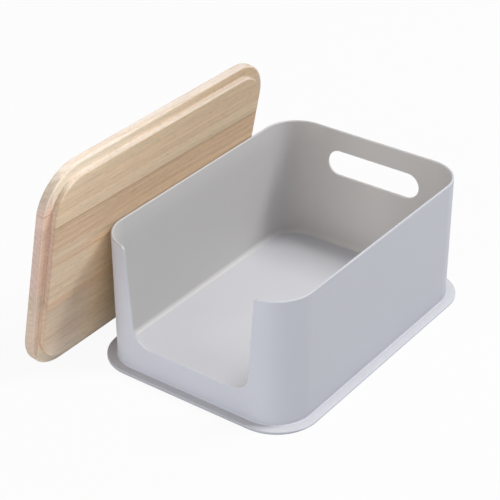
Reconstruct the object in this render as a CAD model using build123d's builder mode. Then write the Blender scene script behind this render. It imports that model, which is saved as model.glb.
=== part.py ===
"""Open-front storage bin with a wooden lid.

The bin is one plastic moulding: a deep rounded tub with a U-shaped opening in
its front wall, a round-ended grip slot in its back wall, and a flat foot flange
all round its base, on which it stands and stacks. The lid is a wooden slab
edge-glued from three boards, with a raised panel that drops inside the rim. It
has been lifted off, and leans with one long edge on the table against the rim
of the bin's left wall.

Frame: millimetres, X across the bin, Y along it from the open front (-Y) to
the grip slot (+Y), Z up. The origin is the centre of the foot on the table.
"""

from build123d import *
from math import cos, radians, sin, tan
import os

# Bin body
BODY_WIDTH = 187.0
BODY_LENGTH = 268.0
BODY_HEIGHT = 117.0
BODY_CORNER = 33.0
WALL = 2.0
DRAFT_ANGLE = 0.2
EDGE_BREAK = 0.6
FLOOR_FILLET = 4.0

# Foot flange, level with the floor
FOOT_REACH = 7.9
FOOT_THICKNESS = 2.2
FOOT_CORNER = 38.5
FOOT_FILLET = 1.0

# U-shaped front opening, between the two cheeks of wall that it leaves
SILL_HEIGHT = 27.0
CHEEK_WIDTH = 30.7
OPENING_LEAN = 4.4
OPENING_CORNER = 17.0
TIP_ROUND = 4.5

# Grip slot in the back wall
SLOT_LENGTH = 94.0
SLOT_HEIGHT = 23.6
SLOT_BELOW_RIM = 20.4

# Lid
PANEL_CLEARANCE = 1.0
PANEL_RAISE = 4.8
PANEL_STEP = 9.0
PANEL_EDGE_BREAK = 0.8
SLAB_THICKNESS = 8.0
SLAB_EDGE_ROUND = 1.6
LOWER_BOARD_WIDTH = 67.5
MIDDLE_BOARD_WIDTH = 81.5
BOARD_SKEW = 1.0
BLANK_MARGIN = 20.0

# Lean of the lid against the bin
LEAN_ANGLE = 11.0
LID_FORWARD = 52.0
RIM_CLEARANCE = 0.3

# An edge that only crosses the wall is shorter than this
through_wall = 1.5 * WALL

# Sizes of the body at its base, where the draft has drawn it in
draw_in = BODY_HEIGHT * tan(radians(DRAFT_ANGLE))
base_width = BODY_WIDTH - 2 * draw_in
base_length = BODY_LENGTH - 2 * draw_in
base_corner = BODY_CORNER - draw_in

# The opening widens from its sill to the rim
rim_half_opening = BODY_WIDTH / 2 - CHEEK_WIDTH
opening_rise = BODY_HEIGHT - SILL_HEIGHT
sill_half_opening = rim_half_opening - opening_rise * tan(radians(OPENING_LEAN))
slot_centre_height = BODY_HEIGHT - SLOT_BELOW_RIM - SLOT_HEIGHT / 2

# The lid's raised panel fits the mouth of the bin, and its slab overhangs the rim
panel_inset = WALL + PANEL_CLEARANCE
panel_width = BODY_WIDTH - 2 * panel_inset
panel_length = BODY_LENGTH - 2 * panel_inset
panel_corner = BODY_CORNER - panel_inset
lid_width = panel_width + 2 * PANEL_STEP
lid_length = panel_length + 2 * PANEL_STEP
lid_corner = panel_corner + PANEL_STEP


def is_cut_along_y(face):
    """True for a face that an outline drawn through along Y has left."""
    return abs(face.normal_at().Y) < 0.01


def is_long(edge):
    """True for an edge that runs along the wall, not through it."""
    return edge.length > through_wall


with BuildPart() as bin_shell:
    # Tub, drawn up from its base with the draft of the mould
    with BuildSketch(Plane.XY):
        RectangleRounded(base_width, base_length, base_corner)
    extrude(amount=BODY_HEIGHT, taper=-DRAFT_ANGLE)

    # Foot flange, with the soft hollow where the wall runs out into it
    with BuildSketch(Plane.XY):
        RectangleRounded(
            base_width + 2 * FOOT_REACH,
            base_length + 2 * FOOT_REACH,
            FOOT_CORNER,
        )
    extrude(amount=FOOT_THICKNESS)
    foot_top = bin_shell.faces().filter_by(Plane.XY).sort_by(Axis.Z)[1]
    fillet(foot_top.inner_wires()[0].edges(), radius=FOOT_FILLET)
    foot_top = bin_shell.faces().filter_by(Plane.XY).sort_by(Axis.Z)[1]
    chamfer(foot_top.outer_wire().edges(), length=EDGE_BREAK)

    # Hollow, with a rounded foot to its walls
    with BuildSketch(Plane.XY.offset(FOOT_THICKNESS)):
        RectangleRounded(
            base_width - 2 * WALL, base_length - 2 * WALL, base_corner - WALL
        )
    extrude(amount=BODY_HEIGHT, taper=-DRAFT_ANGLE, mode=Mode.SUBTRACT)
    floor = bin_shell.faces(Select.LAST).filter_by(Plane.XY).sort_by(Axis.Z)[0]
    fillet(floor.edges(), radius=FLOOR_FILLET)

    # U-shaped opening through the front wall
    with BuildSketch(Plane.XZ.offset(BODY_LENGTH / 2 + WALL)):
        with BuildLine():
            Polyline(
                (-rim_half_opening, BODY_HEIGHT),
                (-sill_half_opening, SILL_HEIGHT),
                (sill_half_opening, SILL_HEIGHT),
                (rim_half_opening, BODY_HEIGHT),
                (rim_half_opening, BODY_HEIGHT + WALL),
                (-rim_half_opening, BODY_HEIGHT + WALL),
                close=True,
            )
        make_face()
        sill_corners = vertices().group_by(Axis.Y)[0]
        fillet(sill_corners, radius=OPENING_CORNER)
    extrude(amount=-BODY_CORNER, mode=Mode.SUBTRACT)

    # Tips, where the opening meets the rim
    rim = bin_shell.faces().sort_by(Axis.Z)[-1]
    tips = rim.edges().filter_by(Axis.Y).filter_by(is_long, reverse=True)
    fillet(tips, radius=TIP_ROUND)

    # One broken edge along the rim, round the tips and through the opening
    rim = bin_shell.faces().sort_by(Axis.Z)[-1]
    opening_faces = bin_shell.faces().filter_by(is_cut_along_y)
    opening_faces = opening_faces.filter_by_position(
        Axis.Y, -BODY_LENGTH / 2, through_wall - BODY_LENGTH / 2
    )
    chamfer((opening_faces.edges() + rim.edges()).filter_by(is_long), length=EDGE_BREAK)

    # Grip slot through the back wall
    with BuildSketch(Plane.XZ.offset(-BODY_LENGTH / 2 - WALL)):
        with Locations((0, slot_centre_height)):
            SlotOverall(SLOT_LENGTH, SLOT_HEIGHT)
    extrude(amount=BODY_CORNER, mode=Mode.SUBTRACT)
    slot_faces = bin_shell.faces(Select.LAST).filter_by(is_cut_along_y)
    chamfer(slot_faces.edges().filter_by(is_long), length=EDGE_BREAK)
bin_shell.part.label = "bin_shell"

# The lid's own plane is the face of its raised panel: x runs along the bin, y up
# the slope from the lid's lower edge, and the normal points at the bin. The
# slab's rounded lower edge rests on the table, and the panel lies off the outer
# corner of the rim by the clearance.
lean = radians(LEAN_ANGLE)
lower_round_depth = PANEL_RAISE + SLAB_EDGE_ROUND
lid_plane_z = SLAB_EDGE_ROUND * (1 - cos(lean)) - lower_round_depth * sin(lean)
rim_above_lid = BODY_HEIGHT - EDGE_BREAK - lid_plane_z
lid_plane_x = -BODY_WIDTH / 2 - (RIM_CLEARANCE + rim_above_lid * sin(lean)) / cos(lean)
lid_plane = Plane(
    origin=(lid_plane_x, -LID_FORWARD, lid_plane_z),
    x_dir=(0, 1, 0),
    z_dir=(cos(lean), 0, -sin(lean)),
)
through_lid = Axis(lid_plane.origin, lid_plane.z_dir)
lid_middle = (0, lid_width / 2)

# The lid as it is routed from the glued-up blank: a slab with a raised panel
with BuildPart() as lid_whole:
    with BuildSketch(lid_plane.offset(-PANEL_RAISE)):
        with Locations(lid_middle):
            RectangleRounded(lid_length, lid_width, lid_corner)
    extrude(amount=-SLAB_THICKNESS)
    slab_rims = lid_whole.edges().group_by(through_lid)
    fillet(slab_rims[0] + slab_rims[-1], radius=SLAB_EDGE_ROUND)
    with BuildSketch(lid_plane):
        with Locations(lid_middle):
            RectangleRounded(panel_length, panel_width, panel_corner)
    extrude(amount=-PANEL_RAISE)
    panel_rim = lid_whole.edges().group_by(through_lid)[-1]
    chamfer(panel_rim, length=PANEL_EDGE_BREAK)


# The blank is glued up larger than the lid, and the lid is cut from it a little askew, so
# that the glue lines fall towards the back
blank_length = lid_length + 2 * BLANK_MARGIN


def lid_board(low, high, label):
    """The strip of the lid between two glue lines, measured across the boards."""
    with BuildPart() as board:
        add(lid_whole.part)
        with BuildSketch(lid_plane):
            with Locations(Rot(Z=-BOARD_SKEW) * Pos(Y=(low + high) / 2)):
                Rectangle(blank_length, high - low)
        extrude(amount=-PANEL_RAISE - SLAB_THICKNESS, mode=Mode.INTERSECT)
    board.part.label = label
    return board.part


upper_glue_line = LOWER_BOARD_WIDTH + MIDDLE_BOARD_WIDTH
lid_boards = [
    lid_board(-BLANK_MARGIN, LOWER_BOARD_WIDTH, "lid_board_1"),
    lid_board(LOWER_BOARD_WIDTH, upper_glue_line, "lid_board_2"),
    lid_board(upper_glue_line, lid_width + BLANK_MARGIN, "lid_board_3"),
]

os.makedirs("parts", exist_ok=True)
for piece in (bin_shell.part, *lid_boards):
    export_step(piece, f"parts/{piece.label}.step")
    print(piece.label, round(piece.volume), piece.bounding_box())
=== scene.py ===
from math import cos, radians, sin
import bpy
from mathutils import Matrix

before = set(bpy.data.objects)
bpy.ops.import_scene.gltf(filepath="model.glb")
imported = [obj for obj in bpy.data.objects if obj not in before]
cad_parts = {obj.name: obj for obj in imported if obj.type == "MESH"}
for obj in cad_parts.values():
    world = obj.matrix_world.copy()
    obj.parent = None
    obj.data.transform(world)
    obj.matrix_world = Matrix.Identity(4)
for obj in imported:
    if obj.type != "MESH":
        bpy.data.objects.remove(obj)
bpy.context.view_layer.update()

# Looks of the open-front storage bin and its leaning wooden lid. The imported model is
# the frame: metres, +X across the bin, +Y from the open front to the grip slot, +Z up.
# Directions are an azimuth in degrees from the front (-Y) towards +X, and an elevation.
from types import SimpleNamespace

import bpy
from mathutils import Matrix, Quaternion, Vector

# Camera, solved from the outlines in the photograph
CAMERA_AIM = Vector((-0.0282, -0.0137, 0.0678))
CAMERA_AZIMUTH = 36.22
CAMERA_ELEVATION = 31.15
CAMERA_ROLL = -0.17
CAMERA_DISTANCE = 1.3508
CAMERA_LENS = 116.05
CAMERA_SENSOR = 36.0

# Light, and the floor, which the camera sees veiled in white
LIGHT_AIM = Vector((0.0, 0.0, 0.06))
AMBIENT = 0.41
WHITE = (1.0, 1.0, 1.0, 1.0)
FLOOR_SIZE = 12.0
FLOOR_COLOUR = (0.6, 0.6, 0.6, 1.0)
FLOOR_VEIL = 0.93

# How far the lid leans from upright, and how far its boards run out of line with its long
# edges, turned about its middle
LID_LEAN = radians(11.0)
BOARD_SKEW = radians(1.0)
LID_MIDDLE = (0.0, -0.052, 0.0)


def direction(azimuth, elevation):
    """The unit vector that points at something seen at these angles."""
    a, e = radians(azimuth), radians(elevation)
    return Vector((sin(a) * cos(e), -cos(a) * cos(e), sin(e)))


def linear(red, green, blue):
    """The linear colour of a colour that is given as it looks on a screen, 0 to 255."""
    shares = [value / 255 for value in (red, green, blue)]
    return (*(s / 12.92 if s <= 0.04045 else ((s + 0.055) / 1.055) ** 2.4 for s in shares), 1.0)


class Shader:
    """The nodes of a material or a world, with short calls for those that this scene uses."""

    def __init__(self, owner, output="ShaderNodeOutputMaterial"):
        owner.use_nodes = True
        self.owner = owner
        self.tree = owner.node_tree
        self.tree.nodes.clear()
        self.output = self.add(output)

    def add(self, kind, **settings):
        node = self.tree.nodes.new(kind)
        for name, value in settings.items():
            setattr(node, name, value)
        return node

    def feed(self, socket, value):
        """Joins an output to the socket, or sets the socket to a plain value."""
        if isinstance(value, bpy.types.NodeSocket):
            self.tree.links.new(value, socket)
        else:
            socket.default_value = value

    def math(self, operation, *values, clamp=False):
        node = self.add("ShaderNodeMath", operation=operation, use_clamp=clamp)
        for socket, value in zip(node.inputs, values):
            self.feed(socket, value)
        return node.outputs["Value"]

    def product(self, value, *others):
        """All the values multiplied together."""
        for other in others:
            value = self.math("MULTIPLY", value, other)
        return value

    def minus(self, value, other):
        return self.math("SUBTRACT", value, other)

    def distance(self, value, place):
        """How far a value lies from a place, to either side."""
        return self.math("ABSOLUTE", self.minus(value, place))

    def varied(self, noise, spread):
        """A tone that follows noise from 0 to 1, by half the spread to either side of 1."""
        return self.math("MULTIPLY_ADD", noise, spread, 1 - spread / 2)

    def vector(self, operation, *values, output="Vector"):
        node = self.add("ShaderNodeVectorMath", operation=operation)
        for socket, value in zip(node.inputs, values):
            self.feed(socket, value)
        return node.outputs[output]

    def parts(self, vector):
        """The X, Y and Z of a vector."""
        node = self.add("ShaderNodeSeparateXYZ")
        self.feed(node.inputs["Vector"], vector)
        return node.outputs

    def turned(self, vector, axis, angle, centre=(0.0, 0.0, 0.0)):
        node = self.add("ShaderNodeVectorRotate", rotation_type=axis)
        self.feed(node.inputs["Vector"], vector)
        self.feed(node.inputs["Center"], centre)
        self.feed(node.inputs["Angle"], angle)
        return node.outputs["Vector"]

    def noise(self, vector, grain, detail=2.0):
        """Noise from 0 to 1 whose blotches are about grain = (x, y, z) metres across."""
        node = self.add("ShaderNodeTexNoise")
        self.feed(node.inputs["Vector"], self.vector("DIVIDE", vector, grain))
        self.feed(node.inputs["Scale"], 1.0)
        self.feed(node.inputs["Detail"], detail)
        return node.outputs["Fac"]

    def step(self, value, low, high, to_low=0.0, to_high=1.0):
        """A smooth step: to_low at low, to_high at high."""
        node = self.add("ShaderNodeMapRange", interpolation_type="SMOOTHSTEP")
        for name, number in (
            ("Value", value),
            ("From Min", low),
            ("From Max", high),
            ("To Min", to_low),
            ("To Max", to_high),
        ):
            self.feed(node.inputs[name], number)
        return node.outputs["Result"]

    def mix(self, factor, a, b, blend="MIX"):
        node = self.add("ShaderNodeMix", data_type="RGBA", blend_type=blend)
        self.feed(node.inputs["Factor"], factor)
        self.feed(node.inputs["A"], a)
        self.feed(node.inputs["B"], b)
        return node.outputs["Result"]

    def shaded(self, colour, amount):
        """The colour made lighter or darker by a factor."""
        node = self.add("ShaderNodeVectorMath", operation="SCALE")
        self.feed(node.inputs["Vector"], colour)
        self.feed(node.inputs["Scale"], amount)
        return node.outputs["Vector"]


def assign(node, material):
    """Gives a node of the frame one material."""
    node.data.materials.clear()
    node.data.materials.append(material)


# Both materials: by how much a rounded edge turns the normal where the edge mask begins and
# where it is full, as a cosine, and the strength of their relief
EDGE_TURN = (0.985, 0.85)
RELIEF = 0.6


def edge_mask(shader, radius):
    """1 at outer edges and 0 on open faces, from how a rounded edge would turn the normal."""
    bevel = shader.add("ShaderNodeBevel", samples=4)
    shader.feed(bevel.inputs["Radius"], radius)
    flat = shader.add("ShaderNodeNewGeometry").outputs["Normal"]
    turn = shader.vector("DOT_PRODUCT", bevel.outputs["Normal"], flat, output="Value")
    return shader.step(turn, *EDGE_TURN)


def finish(shader, colour, rough, height, depth, specular):
    """Ends a material: the Principled shader with its colour, roughness and bump."""
    bump = shader.add("ShaderNodeBump")
    shader.feed(bump.inputs["Strength"], RELIEF)
    shader.feed(bump.inputs["Distance"], depth)
    shader.feed(bump.inputs["Height"], height)
    surface = shader.add("ShaderNodeBsdfPrincipled")
    shader.feed(surface.inputs["Base Color"], colour)
    shader.feed(surface.inputs["Roughness"], rough)
    shader.feed(surface.inputs["Specular IOR Level"], specular)
    shader.feed(surface.inputs["Normal"], bump.outputs["Normal"])
    shader.feed(shader.output.inputs["Surface"], surface.outputs["BSDF"])
    return shader.owner


# Pairs of numbers say where a mask begins and ends: in a noise from 0 to 1, in a part of the
# normal, or in metres. A tone multiplies the colour, and a fall is taken off the tone.

# Moulded plastic of the bin: its colours, the sizes of its patterns and how far they vary it
PLASTIC = linear(183, 185, 194)
# Painted light inside the bin: warmer for the light bounced inside it, and darker on the inner
# back wall for its shade
PLASTIC_INSIDE_BOUNCE = linear(189, 188, 188)
PLASTIC_BACK_SHADE = linear(179, 176, 174)
PLASTIC_RUBBED_HIGHLIGHT = linear(226, 225, 224)
CLOUDS = (0.06, 0.06, 0.06)
MOTTLE = (0.0012, 0.0012, 0.0012)
TEXTURE = (0.0003, 0.0003, 0.0003)
SCUFFS = (0.012, 0.012, 0.0009)
PLASTIC_SPREAD = 0.05
BACK_WALL_FACING = (-0.95, -0.3)
FACING_OUT = (-0.01, 0.01)

# Its finish: roughness, what mottle adds to it and scuffs take from it, and the relief
PLASTIC_ROUGH = 0.44
MOTTLE_ROUGH = 0.10
SCUFFED = (0.62, 0.78)
SCUFF_POLISH = 0.08
MOTTLE_HEIGHT = 0.6
PLASTIC_DEPTH = 0.00004
PLASTIC_SPECULAR = 0.42

# Rubbed edges, paler from wear and from a painted highlight: their width, and how strong the
# rubbing and the highlight are at two heights
PLASTIC_EDGE = 0.0009
RUBBED_HIGHLIGHT_HEIGHTS = (0.03, 0.10)
RUBBED_HIGHLIGHT = (0.15, 0.42)

# Inner corners, darkened with painted shade: how near their faces are, how much of the sky they
# see, and their tone
CREASE_REACH = 0.006
CREASE_SKY = (0.45, 1.0)
CREASE_SHADE_TONE = 0.90

# Left wall, painted with shade and light: where it ends, the heights between which its outside
# and its inside change and their tones at the rim, and how much darker its edge is
LEFT_WALL = (-0.060, -0.045)
LEFT_OUTER_HEIGHTS = (0.045, 0.125)
LEFT_OUTER_TONE = 0.86
LEFT_INNER_HEIGHTS = (0.092, 0.117)
LEFT_INNER_TONE = 1.09
LEFT_EDGE_HEIGHTS = (0.1157, 0.1165)
LEFT_EDGE_FALL = 0.13

# Foot flange, painted with light and shade: the heights where its edge and its top end, how its
# front is told from the normal, and the tones of the paler flange and of its darker front edge
FOOT_EDGE = (0.0018, 0.0022)
FOOT_TOP = (0.0024, 0.0030)
FRONT_FACING = (-0.6, -0.2)
FOOT_PAINTED_LIGHT = 1.10
FOOT_EDGE_PAINTED_SHADE = 0.72


def inside_mask(shader, place, normal):
    """1 on what faces the middle of the bin, which is painted warmer for the light bounced inside
    it, fitted to the photograph.
    """
    outward = shader.vector("MULTIPLY", place, (1, 1, 0))
    facing = shader.vector("DOT_PRODUCT", outward, normal, output="Value")
    return shader.step(facing, *FACING_OUT, 1.0, 0.0)


def crease_painted_shade(shader):
    """Deep inner corners are a little darker: painted shade, from how much of the sky they see.
    """
    hollow = shader.add("ShaderNodeAmbientOcclusion", samples=8, only_local=True)
    shader.feed(hollow.inputs["Distance"], CREASE_REACH)
    return shader.step(hollow.outputs["AO"], *CREASE_SKY, CREASE_SHADE_TONE, 1.0)


def left_wall_painted_light(shader, across, height, inside):
    """Painted shade and light, fitted to the photograph: towards the rim the left wall is darker
    outside and paler inside, and its edge is darker than the others."""
    outer = shader.step(height, *LEFT_OUTER_HEIGHTS, 1.0, LEFT_OUTER_TONE)
    inner = shader.step(height, *LEFT_INNER_HEIGHTS, 1.0, LEFT_INNER_TONE)
    tone = shader.math("MULTIPLY_ADD", inside, shader.minus(inner, outer), outer)
    tone = shader.minus(tone, shader.step(height, *LEFT_EDGE_HEIGHTS, 0.0, LEFT_EDGE_FALL))
    left = shader.step(across, *LEFT_WALL, 1.0, 0.0)
    return shader.math("MULTIPLY_ADD", left, shader.minus(tone, 1.0), 1.0)


def foot_painted_light(shader, height, facing):
    """Painted light and shade, fitted to the photograph: the flange is a little paler than the
    walls, and its front edge is darker."""
    edge = shader.step(height, *FOOT_EDGE, 1.0, 0.0)
    darker = shader.step(facing, *FRONT_FACING, FOOT_EDGE_PAINTED_SHADE - 1, 0.0)
    edge_tone = shader.math("MULTIPLY_ADD", edge, darker, 1.0)
    return shader.product(shader.step(height, *FOOT_TOP, FOOT_PAINTED_LIGHT, 1.0), edge_tone)


def plastic_material():
    """Cool grey polypropylene with a fine eroded texture, light rubbing and a painted highlight
    on its edges, and painted light and shade.
    """
    shader = Shader(bpy.data.materials.new("bin_plastic_matte"))
    coordinates = shader.add("ShaderNodeTexCoord").outputs
    place, normal = coordinates["Object"], coordinates["Normal"]
    across, height = shader.parts(place)["X"], shader.parts(place)["Z"]
    facing = shader.parts(normal)["Y"]
    inside = inside_mask(shader, place, normal)
    clouds = shader.noise(place, CLOUDS)
    mottle = shader.noise(place, MOTTLE, detail=3.0)
    texture = shader.noise(place, TEXTURE)
    scuffs = shader.noise(place, SCUFFS, detail=4.0)

    # Colour: a little cloudy and mottled, painted warmer inside and darker on the inner back
    # wall, paler where edges are rubbed and given a painted highlight, with painted shade and
    # light in creases, on the foot and on the left wall
    back_wall = shader.step(facing, *BACK_WALL_FACING, 1.0, 0.0)
    inner = shader.mix(back_wall, PLASTIC_INSIDE_BOUNCE, PLASTIC_BACK_SHADE)
    colour = shader.mix(inside, PLASTIC, inner)
    strength = shader.step(height, *RUBBED_HIGHLIGHT_HEIGHTS, *RUBBED_HIGHLIGHT)
    rubbed = shader.product(edge_mask(shader, PLASTIC_EDGE), strength)
    colour = shader.mix(rubbed, colour, PLASTIC_RUBBED_HIGHLIGHT)
    tone = shader.product(
        shader.varied(clouds, PLASTIC_SPREAD),
        shader.varied(mottle, PLASTIC_SPREAD),
        crease_painted_shade(shader),
        foot_painted_light(shader, height, facing),
        left_wall_painted_light(shader, across, height, inside),
    )
    colour = shader.shaded(colour, tone)

    # Finish
    rough = shader.math("MULTIPLY_ADD", mottle, MOTTLE_ROUGH, PLASTIC_ROUGH)
    scuffed = shader.step(scuffs, *SCUFFED)
    rough = shader.math("MULTIPLY_ADD", scuffed, -SCUFF_POLISH, rough)
    relief = shader.math("MULTIPLY_ADD", mottle, MOTTLE_HEIGHT, texture)
    return finish(shader, colour, rough, relief, PLASTIC_DEPTH, PLASTIC_SPECULAR)


# Wood of the lid, board by board:
# below: the board whose colour a growth ring carries up past the glue line on the ends
# joints: how strong the glue lines at its lower and upper side are
# low_side, high_side: the colour along each side, how far it reaches and how strong it is; on the
# lowest board the low side is painted paler for light bounced up from the floor
# pith: how far across the board from its middle, and how far behind its face
# ring: the width of a growth ring
# pale, warm, cool, dark: the wood, its warmer bands, its greyer ones, and the late wood
# end, ledge, edge: the end grain, the ledge at the ends, painted paler for bounced light, and the
# long edges
# back: a colour painted over the wood behind the front, for the bin's shade and the warm light
# bounced into it, and how strong it is
# fade: tones at the back end and at the front end, painted light that falls off along the lid
# riser: the tone of the step's riser
# crease: how much paler the crease under the riser is painted at the ends, against the shade in
# it
# seed: where in the noise the board is cut
BOARDS = {
    "lid_board_1": {
        "below": "lid_board_1",
        "joints": (0.0, 0.15),
        # Painted light: this board's low side is paler for light bounced up from the floor
        "low_side": (linear(250, 232, 211), 0.050, 0.95),
        "high_side": (linear(196, 169, 141), 0.007, 0.2),
        "pith": (0.085, 0.050),
        "ring": 0.0052,
        "pale": linear(219, 199, 176),
        "warm": linear(214, 189, 166),
        "cool": linear(206, 186, 164),
        "dark": linear(196, 169, 141),
        "end": linear(189, 171, 155),
        "ledge": linear(226, 200, 181),
        "edge": linear(205, 188, 172),
        "back": (linear(222, 194, 155), 0.6),
        "fade": (0.96, 1.05),
        "riser": 1.0,
        "crease": 0.18,
        "seed": 3.1,
    },
    "lid_board_2": {
        "below": "lid_board_1",
        "joints": (0.15, 0.45),
        "low_side": (linear(203, 168, 135), 0.004, 0.2),
        "high_side": (linear(203, 168, 135), 0.007, 0.65),
        "pith": (-0.090, 0.060),
        "ring": 0.0060,
        "pale": linear(226, 204, 177),
        "warm": linear(224, 194, 165),
        "cool": linear(217, 191, 165),
        "dark": linear(203, 168, 135),
        "end": linear(193, 170, 160),
        "ledge": linear(238, 200, 178),
        "edge": linear(207, 189, 172),
        "back": (linear(220, 188, 152), 0.6),
        "fade": (1.02, 0.99),
        "riser": 0.90,
        "crease": 0.10,
        "seed": 7.7,
    },
    "lid_board_3": {
        "below": "lid_board_2",
        "joints": (0.45, 0.0),
        "low_side": (linear(232, 212, 184), 0.010, 0.4),
        "high_side": (linear(206, 179, 149), 0.020, 0.3),
        "pith": (0.075, 0.035),
        "ring": 0.0048,
        "pale": linear(229, 209, 180),
        "warm": linear(223, 197, 167),
        "cool": linear(211, 195, 166),
        "dark": linear(206, 179, 149),
        "end": linear(180, 165, 151),
        "ledge": linear(224, 202, 188),
        "edge": linear(222, 209, 196),
        "back": (linear(222, 198, 164), 0.2),
        "fade": (0.92, 1.09),
        "riser": 0.89,
        "crease": 0.0,
        "seed": 12.4,
    },
}

# Sizes of the wood's patterns: through the lid, along it and across its boards
WANDER = (0.03, 0.30, 0.03)
RIPPLE = (0.010, 0.16, 0.010)
FIBRE = (0.0012, 0.030, 0.0012)
STREAK = (0.0040, 0.20, 0.0040)
PORES = (0.0005, 0.006, 0.0005)
BANDS = (0.016, 0.60, 0.016)
GREYS = (0.012, 0.35, 0.012)
GREYS_APART = (5, 5, 5)

# Growth rings: how far their pith wanders and they ripple, where in a ring the late wood
# sets in and ends, and how its strength follows the bands
WANDER_REACH = 0.014
RIPPLE_REACH = 0.0070
LATE_START = (0.35, 0.88)
LATE_END = (0.92, 1.0)
LATE_RISE = 0.9
LATE_LEAST = -0.18

# Colours and tones of open wood
WARM_BANDS = (0.38, 0.62)
GREY_PATCHES = (0.58, 0.80)
BACK_TINT_SPAN = (0.03, 0.11)
FIBRE_SPREAD = 0.34
STREAK_SPREAD = 0.22
DARK_PORES = (0.56, 0.72)
PORE_TONE = 0.77

# Glue, and the growth ring that rises from the joint through the thickness of the ends: how
# far, how wide its dark line is, and where the colours on its two sides meet
GLUE = linear(148, 104, 66)
GLUE_LINE = 0.0009
RING_RISE = 0.0125
RING_LINE = 0.0010
RING_BLEND = (-0.004, 0.016)

# The step round the lid's raised panel: its width and height, and its riser and its ledge
# by their depth below the face
STEP = 0.009
RAISE = 0.0048
RISER_DEPTH = (1.02 * RAISE, 1.06 * RAISE)
LEDGE_DEPTH = (0.9 * RAISE, RAISE)
END_LEDGE = (0.9 * STEP, 1.1 * STEP)
END_RISER_TINT = (1.0, 0.94, 0.86, 1.0)

# The pale wood of the ledge, which shows most at the front, and late wood on the long edges
# and the ends
LEDGE = linear(244, 230, 210)
LEDGE_FRONT = 0.9
END_LEDGE_STRENGTH = 0.85
LATE_ON_EDGE = 0.4
LATE_ON_END = -0.10
END_TONE = 1.02

# How faces are told apart by a part of their normal: the panel's and the ledge's, the ones
# that face along or across the boards, and the ones at the back end
FACE_FACING = (0.5, 0.9)
SIDE_FACING = (0.35, 0.95)
BACK_FACING = (0.1, 0.7)

# Edges and ends: rubbed edges with a painted highlight, the crease under the end riser painted
# paler against its shade, the rounding of the ends painted darker against its highlight, and the
# back end, which would burn out in the key light with its full colour
WOOD_EDGE = 0.0012
EDGE_LIFT = 0.06
CREASE = 0.0015
ROUNDING_FALL = 0.45
BACK_END_TONE = 0.80

# Painted light and shade of the bin on the face, fitted to the photograph: a warmer tint for
# light bounced into its shade low down behind its front, with where it starts along the lid and
# ends up the lid, a strip of painted shade above the rim, and a thin line of painted shade where
# it leans on the rim
BIN_FRONT_ALONG = (-0.150, -0.118)
BOUNCE_TINT_BELOW = (0.086, 0.103)
PAINTED_BOUNCE_TINT = (1.15, 1.11, 1.01, 1.0)
STRIP_HEIGHT = 0.117
STRIP_REACH = 0.016
STRIP_FALL = 0.06
CONTACT_SHADE_HEIGHT = 0.0973
CONTACT_SHADE_REACH = 0.0018
CONTACT_SHADE_FALL = 0.22

# Finish of the wood: roughness and what fibres add to it, and the relief of the pores
WOOD_ROUGH = 0.58
FIBRE_ROUGH = 0.20
SUNK_PORES = (0.55, 0.75)
PORE_HEIGHT = -0.7
WOOD_DEPTH = 0.00012
WOOD_SPECULAR = 0.15


def across_span(node):
    """The lowest and highest place of a board, measured across the boards of the lid."""
    turn = Matrix.Rotation(BOARD_SKEW, 3, "X")
    unlean = Matrix.Rotation(-LID_LEAN, 3, "Y")
    middle = Vector(LID_MIDDLE)
    places = [(turn @ (unlean @ v.co - middle)).z for v in node.data.vertices]
    return min(places), max(places)


def y_span(node):
    """The back and front ends of a board, along the lid."""
    places = [v.co.y for v in node.data.vertices]
    return max(places), min(places)


def face_place(node):
    """Where the front of a board lies along the lid's normal."""
    return max(v.co.x * cos(LID_LEAN) - v.co.z * sin(LID_LEAN) for v in node.data.vertices)


def board_places(shader, node, look):
    """Where a board lies, and where on it the shader is and how it faces there. All of it is
    as if the lid stood upright: X through it, Y along it, and Z up."""
    coordinates = shader.add("ShaderNodeTexCoord").outputs
    lid_place = shader.turned(coordinates["Object"], "Y_AXIS", -LID_LEAN)
    board_place = shader.turned(lid_place, "X_AXIS", BOARD_SKEW, LID_MIDDLE)
    facing = shader.parts(shader.turned(coordinates["Normal"], "Y_AXIS", -LID_LEAN))

    at = SimpleNamespace(front=face_place(node))
    at.low, at.high = across_span(node)
    at.back_end, at.front_end = y_span(node)
    at.grain = shader.vector("ADD", board_place, (look["seed"],) * 3)
    at.through = shader.parts(board_place)["X"]
    at.across = shader.parts(board_place)["Z"]
    at.along = shader.parts(lid_place)["Y"]
    at.height = shader.parts(lid_place)["Z"]
    at.depth = shader.minus(at.front, shader.parts(lid_place)["X"])
    from_middle = shader.distance(at.along, (at.back_end + at.front_end) / 2)
    at.from_end = shader.minus((at.back_end - at.front_end) / 2, from_middle)

    # Masks: the panel's face and the ledge, the long edges, the ends, and the back end
    at.face = shader.step(facing["X"], *FACE_FACING)
    at.edge = shader.step(shader.math("ABSOLUTE", facing["Z"]), *SIDE_FACING)
    at.end = shader.step(shader.math("ABSOLUTE", facing["Y"]), *SIDE_FACING)
    at.back = shader.step(facing["Y"], *BACK_FACING)

    # The step's riser lies in front of its ledge, and the ledge in front of the slab's edge
    at.riser = shader.step(at.depth, *RISER_DEPTH, 1.0, 0.0)
    at.ledge = shader.product(shader.step(at.depth, *LEDGE_DEPTH), at.face)
    return at


def growth_rings(shader, at, look):
    """1 in the dark late wood of each ring, from the distance to a pith that wanders a little."""
    pith_across, pith_behind = look["pith"]
    across = shader.minus(at.across, (at.low + at.high) / 2 + pith_across)
    across = shader.math("MULTIPLY_ADD", shader.noise(at.grain, WANDER), WANDER_REACH, across)
    behind = shader.minus(at.through, at.front - pith_behind)
    square = shader.math("MULTIPLY_ADD", behind, behind, shader.product(across, across))
    radius = shader.math("POWER", square, 0.5)
    radius = shader.math("MULTIPLY_ADD", shader.noise(at.grain, RIPPLE), RIPPLE_REACH, radius)
    ring = shader.math("FRACT", shader.math("DIVIDE", radius, look["ring"]))
    return shader.product(shader.step(ring, *LATE_START), shader.step(ring, *LATE_END, 1.0, 0.0))


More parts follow.
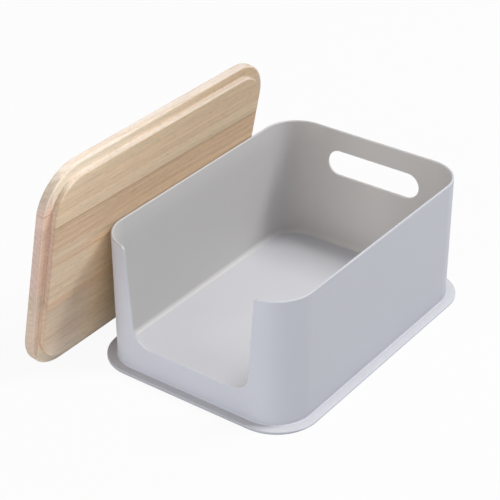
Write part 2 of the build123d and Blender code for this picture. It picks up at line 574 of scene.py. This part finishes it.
def open_wood(shader, at, look, late):
    """Broad bands of warmer and greyer wood, a tint painted behind the front for the bin's shade
    and bounced light, the wood along the sides, and the glue lines.
    """
    bands = shader.noise(at.grain, BANDS, detail=1.0)
    greys = shader.noise(shader.vector("ADD", at.grain, GREYS_APART), GREYS, detail=1.0)
    colour = shader.mix(shader.step(bands, *WARM_BANDS), look["pale"], look["warm"])
    colour = shader.mix(shader.step(greys, *GREY_PATCHES), colour, look["cool"])
    back, most = look["back"]
    behind = shader.step(shader.minus(at.along, at.front_end), *BACK_TINT_SPAN, 0.0, most)
    colour = shader.mix(behind, colour, back)
    strength = shader.math("MULTIPLY_ADD", bands, LATE_RISE, LATE_LEAST)
    colour = shader.mix(shader.product(late, strength), colour, look["dark"])

    sides = ((at.low, 1, look["low_side"]), (at.high, -1, look["high_side"]))
    for line, inward, (side, reach, most) in sides:
        beside = shader.step(at.across, line, line + inward * reach, most, 0.0)
        colour = shader.mix(beside, colour, side)
    for line, glued in zip((at.low, at.high), look["joints"]):
        if glued:
            away = shader.distance(at.across, line)
            colour = shader.mix(shader.step(away, 0.0, GLUE_LINE, glued, 0.0), colour, GLUE)

    # The ledge, and the long edges
    front = shader.step(at.along, at.back_end, at.front_end, 0.0, LEDGE_FRONT)
    colour = shader.mix(shader.product(at.ledge, front), colour, LEDGE)
    edge_late = shader.product(late, LATE_ON_EDGE)
    return shader.mix(at.edge, colour, shader.mix(edge_late, look["edge"], look["dark"]))


def end_wood(shader, at, look, late, colour):
    """The end grain where the surface faces along the board, and the ledge beside it. A
    growth ring carries the colour of the board below up from the joint."""
    below = BOARDS[look["below"]]
    rise = shader.step(at.depth, 0.0, RAISE, at.low, at.low + RING_RISE)
    over = shader.minus(at.across, rise)
    ring_below = shader.step(over, *RING_BLEND, 1.0, 0.0)
    end_colour = shader.mix(ring_below, look["end"], below["end"])
    end_tone = shader.math("MULTIPLY_ADD", late, LATE_ON_END, END_TONE)
    end_colour = shader.shaded(end_colour, end_tone)
    end_colour = shader.mix(at.riser, end_colour, END_RISER_TINT, blend="MULTIPLY")
    colour = shader.mix(at.end, colour, end_colour)

    ledge = shader.product(at.ledge, shader.step(at.from_end, *END_LEDGE, 1.0, 0.0))
    ledge_colour = shader.mix(ring_below, look["ledge"], below["ledge"])
    colour = shader.mix(shader.product(ledge, END_LEDGE_STRENGTH), colour, ledge_colour)

    glued = look["joints"][0]
    ring_line = shader.step(shader.math("ABSOLUTE", over), 0.0, RING_LINE, glued, 0.0)
    ring_line = shader.product(ring_line, shader.math("MAXIMUM", at.end, ledge))
    return shader.mix(ring_line, colour, GLUE)


def lid_wear_and_painted_light(shader, at, look):
    """Tones fitted to the photograph, most of them painted light and shade: light falling off
    from end to end, rubbed edges with a painted highlight, darker risers, creases painted paler
    against their shade and rounded ends painted darker against their highlight. The back end
    isn't in it, and is toned down."""
    fade = shader.step(at.along, at.back_end, at.front_end, *look["fade"])
    open_edge = shader.product(edge_mask(shader, WOOD_EDGE), shader.minus(1.0, at.end))
    edge = shader.math("MULTIPLY_ADD", open_edge, EDGE_LIFT, 1.0)
    sideways = shader.math("MAXIMUM", at.edge, at.end)
    riser = shader.step(shader.product(at.riser, sideways), 0.0, 1.0, 1.0, look["riser"])
    crease = shader.product(
        shader.step(shader.distance(at.from_end, STEP), 0.0, CREASE, look["crease"], 0.0),
        shader.step(shader.distance(at.depth, RAISE), 0.0, CREASE, 1.0, 0.0),
    )
    crease = shader.math("ADD", crease, 1.0)
    rounding = shader.product(at.end, shader.minus(1.0, at.end))
    rounding = shader.math("MULTIPLY_ADD", rounding, -ROUNDING_FALL, 1.0)
    back_end = shader.math("MULTIPLY_ADD", at.back, BACK_END_TONE - 1, 1.0)
    return shader.product(fade, edge, riser, crease, rounding, back_end)


def wood_material(name, node, look):
    """Pale sanded wood with growth rings cut from a log, so that the face and the end agree."""
    shader = Shader(bpy.data.materials.new(name + "_wood"))
    at = board_places(shader, node, look)
    late = growth_rings(shader, at, look)
    fibre = shader.noise(at.grain, FIBRE, detail=4.0)
    streak = shader.noise(at.grain, STREAK)
    pores = shader.noise(at.grain, PORES)
    colour = open_wood(shader, at, look, late)
    colour = end_wood(shader, at, look, late, colour)

    # Painted light and shade of the bin, on the panel's face and the ledge only
    behind_bin_front = shader.product(at.face, shader.step(at.along, *BIN_FRONT_ALONG))
    warmer = shader.product(behind_bin_front, shader.step(at.height, *BOUNCE_TINT_BELOW, 1.0, 0.0))
    colour = shader.mix(warmer, colour, PAINTED_BOUNCE_TINT, blend="MULTIPLY")
    from_strip = shader.distance(at.height, STRIP_HEIGHT)
    from_contact_shade = shader.distance(at.height, CONTACT_SHADE_HEIGHT)
    painted_shade = shader.math(
        "ADD",
        shader.step(from_strip, 0.0, STRIP_REACH, STRIP_FALL, 0.0),
        shader.step(from_contact_shade, 0.0, CONTACT_SHADE_REACH, CONTACT_SHADE_FALL, 0.0),
    )

    tone = shader.product(
        shader.varied(fibre, FIBRE_SPREAD),
        shader.varied(streak, STREAK_SPREAD),
        shader.step(pores, *DARK_PORES, 1.0, PORE_TONE),
        lid_wear_and_painted_light(shader, at, look),
        shader.minus(1.0, shader.product(behind_bin_front, painted_shade)),
    )
    colour = shader.shaded(colour, tone)
    rough = shader.math("MULTIPLY_ADD", fibre, FIBRE_ROUGH, WOOD_ROUGH)
    relief = shader.math("MULTIPLY_ADD", shader.step(pores, *SUNK_PORES), PORE_HEIGHT, fibre)
    return finish(shader, colour, rough, relief, WOOD_DEPTH, WOOD_SPECULAR)


def show_white(shader, lit, white, veil=1.0):
    """Ends a material or world: the camera and mirror-like surfaces see it mixed towards
    white, and the light that it gives stays as lit."""
    path = shader.add("ShaderNodeLightPath").outputs
    seen = shader.math("ADD", path["Is Camera Ray"], path["Is Glossy Ray"])
    seen = shader.math("ADD", seen, path["Is Transmission Ray"], clamp=True)
    mixed = shader.add("ShaderNodeMixShader")
    shader.feed(mixed.inputs["Fac"], shader.product(seen, veil))
    shader.feed(mixed.inputs[1], lit)
    shader.feed(mixed.inputs[2], white)
    shader.feed(shader.output.inputs["Surface"], mixed.outputs["Shader"])


def add_floor():
    """A plain pale floor, which keeps a soft shadow of the object."""
    half = FLOOR_SIZE / 2
    corners = [(-half, -half, 0), (half, -half, 0), (half, half, 0), (-half, half, 0)]
    mesh = bpy.data.meshes.new("floor")
    mesh.from_pydata(corners, [], [(0, 1, 2, 3)])
    floor = bpy.data.objects.new("floor", mesh)
    bpy.context.scene.collection.objects.link(floor)
    shader = Shader(bpy.data.materials.new("floor_pale"))
    lit = shader.add("ShaderNodeBsdfDiffuse")
    shader.feed(lit.inputs["Color"], FLOOR_COLOUR)
    white = shader.add("ShaderNodeEmission")
    show_white(shader, lit.outputs["BSDF"], white.outputs["Emission"], FLOOR_VEIL)
    assign(floor, shader.owner)


def add_world():
    """Even ambient light, and a white background."""
    world = bpy.data.worlds.new("studio")
    shader = Shader(world, "ShaderNodeOutputWorld")
    ambient = shader.add("ShaderNodeBackground")
    white = shader.add("ShaderNodeBackground")
    for background, strength in ((ambient, AMBIENT), (white, 1.0)):
        shader.feed(background.inputs["Color"], WHITE)
        shader.feed(background.inputs["Strength"], strength)
    show_white(shader, ambient.outputs["Background"], white.outputs["Background"])
    bpy.context.scene.world = world


def soft_light(name, azimuth, elevation, distance, size, watts):
    """A square softbox that faces the object."""
    lamp = bpy.data.lights.new(name, "AREA")
    lamp.shape = "SQUARE"
    lamp.size = size
    lamp.energy = watts
    towards = direction(azimuth, elevation)
    light = bpy.data.objects.new(name, lamp)
    light.location = LIGHT_AIM + towards * distance
    light.rotation_euler = towards.to_track_quat("Z", "Y").to_euler()
    bpy.context.scene.collection.objects.link(light)


def add_camera():
    camera = bpy.data.objects.new("camera", bpy.data.cameras.new("camera"))
    camera.data.lens = CAMERA_LENS
    camera.data.sensor_width = CAMERA_SENSOR
    towards = direction(CAMERA_AZIMUTH, CAMERA_ELEVATION)
    camera.location = CAMERA_AIM + towards * CAMERA_DISTANCE
    roll = Quaternion((0, 0, 1), radians(CAMERA_ROLL))
    camera.rotation_euler = (towards.to_track_quat("Z", "Y") @ roll).to_euler()
    bpy.context.scene.collection.objects.link(camera)
    bpy.context.scene.camera = camera


assign(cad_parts["bin_shell"], plastic_material())
for name, look in BOARDS.items():
    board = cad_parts[name]
    assign(board, wood_material(name, board, look))

add_floor()
add_world()
soft_light("key", azimuth=130, elevation=56, distance=2.6, size=0.8, watts=59)
soft_light("fill", azimuth=-2, elevation=12, distance=3.2, size=1.48, watts=56.8)
add_camera()
bpy.context.scene.view_settings.view_transform = "Standard"
